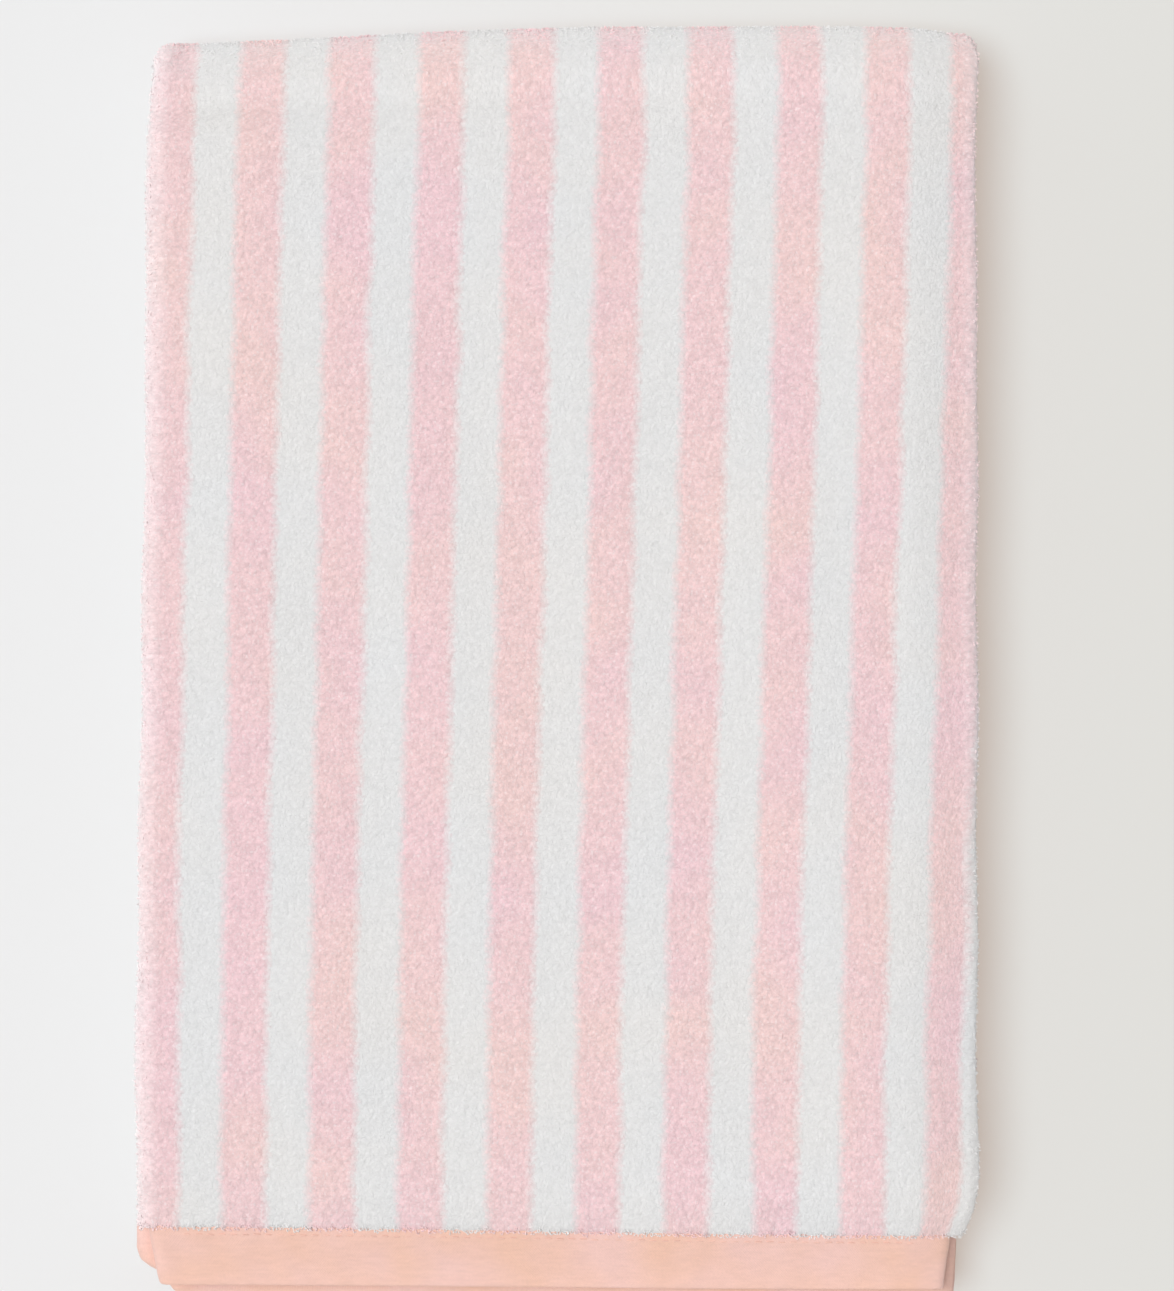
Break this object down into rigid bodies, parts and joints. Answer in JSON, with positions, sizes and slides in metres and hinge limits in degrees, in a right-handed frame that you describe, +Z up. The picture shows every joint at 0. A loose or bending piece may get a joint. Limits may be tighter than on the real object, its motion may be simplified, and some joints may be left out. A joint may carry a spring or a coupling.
{
  "type": "folded bath towel",
  "caption": "Folded striped terry bath towel with plain woven hems, folded in thirds and quarters for a shelf. Its upper half opens about the back fold.",
  "frame": {"origin": "middle of the folded towel's underside, where it rests on a shelf or table", "axes": "+X across the stripes, with the loose cloth edges on the +X side; +Y along the stripes, from the hems to the back fold; +Z up through the stack"},
  "size_m": [0.2356, 0.3569, 0.042],
  "materials": {
    "terry": "matte",
    "selvedge": "matte",
    "hem": "matte",
    "thread": "matte"
  },
  "bodies": {
    "lower_half": {"third_leaf_terry": "terry", "third_leaf_inner_selvedge": "selvedge", "third_leaf_outer_selvedge": "selvedge", "bottom_leaf_terry": "terry", "bottom_leaf_inner_selvedge": "selvedge", "bottom_leaf_outer_selvedge": "selvedge", "front_fold_terry": "terry", "front_fold_inner_selvedge": "selvedge", "front_fold_outer_selvedge": "selvedge", "outer_back_fold_terry": "terry", "outer_back_fold_inner_selvedge": "selvedge", "outer_back_fold_outer_selvedge": "selvedge", "inner_back_fold_terry": "terry", "inner_back_fold_inner_selvedge": "selvedge", "inner_back_fold_outer_selvedge": "selvedge"},
    "upper_half": {"top_leaf_terry": "terry", "top_leaf_inner_selvedge": "selvedge", "top_leaf_outer_selvedge": "selvedge", "second_leaf_terry": "terry", "second_leaf_inner_selvedge": "selvedge", "second_leaf_outer_selvedge": "selvedge", "top_hem": "hem", "second_hem": "hem", "top_hem_stitching": "thread", "second_hem_stitching": "thread"}
  },
  "joints": [
    {"name": "back_fold", "type": "hinge", "parent": "lower_half", "child": "upper_half", "pos_m": [0, 0.15746, 0.021], "axis": [-1, 0, 0], "range_deg": [0, 179.5], "deforming": ["outer_back_fold_terry", "outer_back_fold_inner_selvedge", "outer_back_fold_outer_selvedge", "inner_back_fold_terry", "inner_back_fold_inner_selvedge", "inner_back_fold_outer_selvedge"]}
  ]
}
